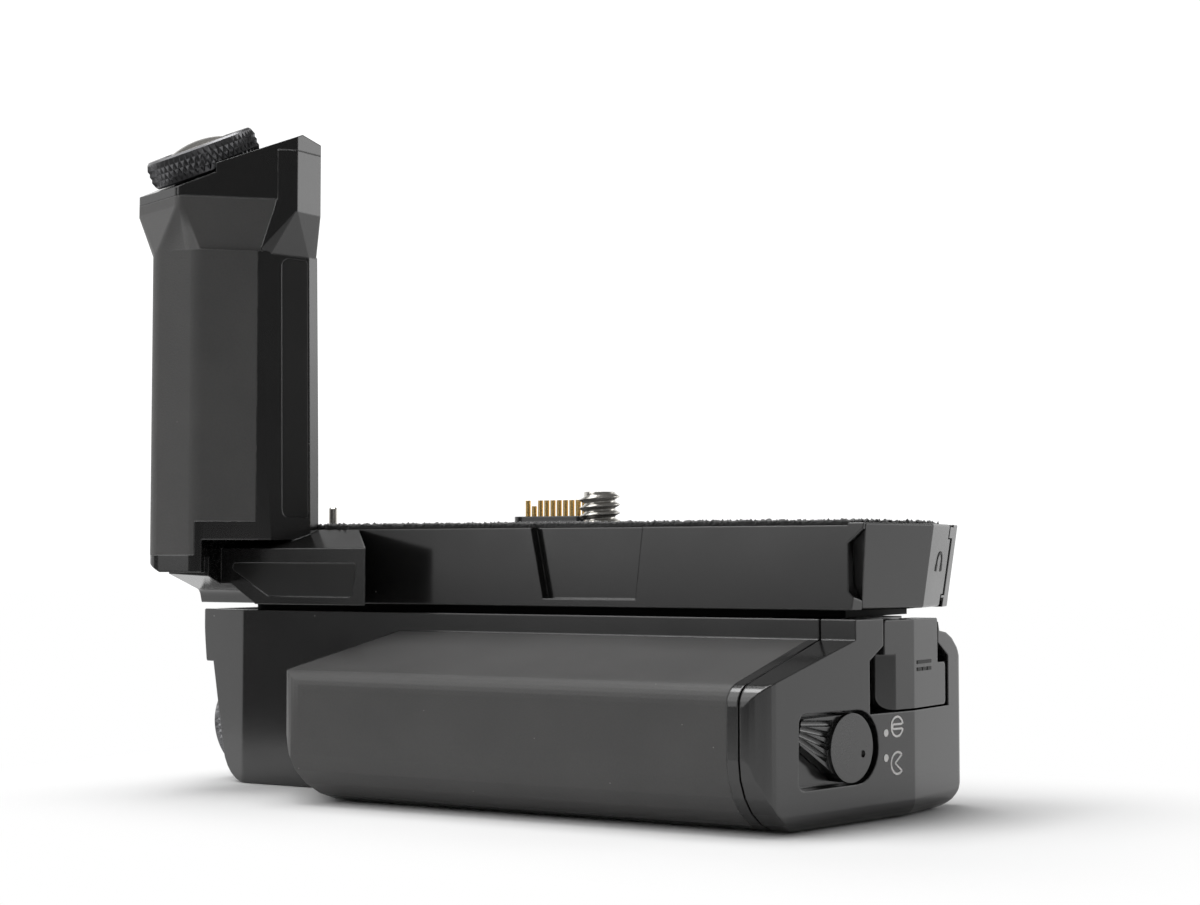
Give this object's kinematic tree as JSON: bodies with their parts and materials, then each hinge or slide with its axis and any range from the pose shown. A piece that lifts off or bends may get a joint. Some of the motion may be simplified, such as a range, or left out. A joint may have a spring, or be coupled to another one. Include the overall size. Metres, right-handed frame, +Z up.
{
  "type": "camera battery grip",
  "caption": "L-shaped battery grip for a camera: seat plate with a thumb-wheel screw, upright handgrip with dial and button, and a battery drawer unit below with a lock lever.",
  "frame": {"origin": "on the camera screw's axis at the seat, the top face of the pad", "axes": "+X to the end with the drawer and sockets, +Y away from the handgrip's side, to the back, +Z up along the camera screw"},
  "size_m": [0.1243, 0.0525, 0.1061],
  "materials": {
    "shell": "satin black moulded plastic",
    "rubber": "fine-grained black rubber",
    "pad": "short-fibre black pad",
    "control": "black",
    "screw": "bright steel",
    "dark_metal": "blackened",
    "pin": "plain",
    "brass": "turned",
    "gold": "gold-plated",
    "inside": "plain moulded",
    "battery": "plain moulded"
  },
  "bodies": {
    "grip": {"base_plate": "shell", "plate_cover": "shell", "handgrip_shell": "shell", "handgrip_cap": "shell", "body_shell": "shell", "body_lid": "shell", "contact_block": "shell", "handgrip_rubber": "rubber", "handgrip_inlay": "rubber", "root_inlay": "rubber", "front_rubber": "rubber", "seat_pad": "pad", "locating_pin": "screw", "plate_screws": "dark_metal", "body_screws": "dark_metal", "headphone_pin": "pin", "dc_pin": "pin", "screw_bush": "brass", "tripod_socket": "brass", "contact_pins": "gold", "battery_contacts": "gold", "link_contacts": "gold", "headphone_jack": "inside", "dc_jack": "inside"},
    "control_dial": {"control_dial": "control"},
    "shutter_button": {"shutter_button": "screw"},
    "thumb_wheel": {"thumb_wheel": "dark_metal"},
    "camera_screw": {"camera_screw": "screw"},
    "headphone_cover": {"headphone_cover": "shell"},
    "drawer": {"end_cover": "shell", "battery_tray": "inside", "battery_pack": "battery"},
    "lock": {"lock_lever": "shell", "lock_cam": "pin"},
    "dc_cover": {"dc_cover": "shell"},
    "portrait_dial": {"portrait_dial": "control"},
    "portrait_button": {"portrait_button": "control"},
    "rear_dial": {"rear_dial": "control"},
    "fn_button_1": {"fn_button_1": "control"},
    "fn_button_2": {"fn_button_2": "control"},
    "coupling_wheel": {"coupling_wheel": "dark_metal"}
  },
  "joints": [
    {"name": "thumb_wheel_spin", "type": "hinge", "parent": "grip", "child": "thumb_wheel", "pos_m": [0, 0.0105, -0.009], "axis": [0, 0, 1], "continuous": true},
    {"name": "camera_screw_spin", "type": "hinge", "parent": "grip", "child": "camera_screw", "pos_m": [0, 0, 0], "axis": [0, 0, 1], "continuous": true},
    {"name": "control_dial_spin", "type": "hinge", "parent": "grip", "child": "control_dial", "pos_m": [-0.0598, -0.0236, 0.0589], "axis": [-0.1542, -0.3935, 0.9063], "continuous": true},
    {"name": "shutter_press", "type": "slide", "parent": "grip", "child": "shutter_button", "axis": [0.1542, 0.3935, -0.9063], "range_m": [0, 0.001], "stiffness_N_per_m": 300, "springref_m": -0.0005},
    {"name": "headphone_cover_hinge", "type": "hinge", "parent": "grip", "child": "headphone_cover", "pos_m": [0.05097, 0.01203, -0.0063], "axis": [0.1463, 0.0208, 0.989], "range_deg": [0, 95]},
    {"name": "drawer_slide", "type": "slide", "parent": "grip", "child": "drawer", "axis": [1, 0, 0], "range_m": [0, 0.062]},
    {"name": "lock_turn", "type": "hinge", "parent": "drawer", "child": "lock", "pos_m": [0.04869, -0.0161, -0.0307], "axis": [0.9711, -0.2385, 0], "range_deg": [0, 27]},
    {"name": "dc_cover_hinge", "type": "hinge", "parent": "grip", "child": "dc_cover", "pos_m": [0.0497, 0, -0.0156], "axis": [0, -1, 0], "range_deg": [0, 75]},
    {"name": "portrait_dial_spin", "type": "hinge", "parent": "grip", "child": "portrait_dial", "pos_m": [-0.06422, -0.0036, -0.0328], "axis": [-0.9766, 0, -0.2149], "continuous": true},
    {"name": "portrait_press", "type": "slide", "parent": "grip", "child": "portrait_button", "axis": [0.9766, 0, 0.2149], "range_m": [0, 0.0006], "stiffness_N_per_m": 300, "springref_m": -0.0005},
    {"name": "rear_dial_spin", "type": "hinge", "parent": "grip", "child": "rear_dial", "pos_m": [-0.052, 0.016, -0.0268], "axis": [0, 1, 0], "continuous": true},
    {"name": "fn_press_1", "type": "slide", "parent": "grip", "child": "fn_button_1", "axis": [0, -1, 0], "range_m": [0, 0.0006], "stiffness_N_per_m": 300, "springref_m": -0.0005},
    {"name": "fn_press_2", "type": "slide", "parent": "grip", "child": "fn_button_2", "axis": [0, -1, 0], "range_m": [0, 0.0006], "stiffness_N_per_m": 300, "springref_m": -0.0005},
    {"name": "coupling_spin", "type": "hinge", "parent": "grip", "child": "coupling_wheel", "pos_m": [-0.03, 0.008, -0.018], "axis": [0, 0, 1], "continuous": true}
  ],
  "couplings": [
    {"joint": "camera_screw_spin", "follows": "thumb_wheel_spin", "ratio": -0.75}
  ]
}
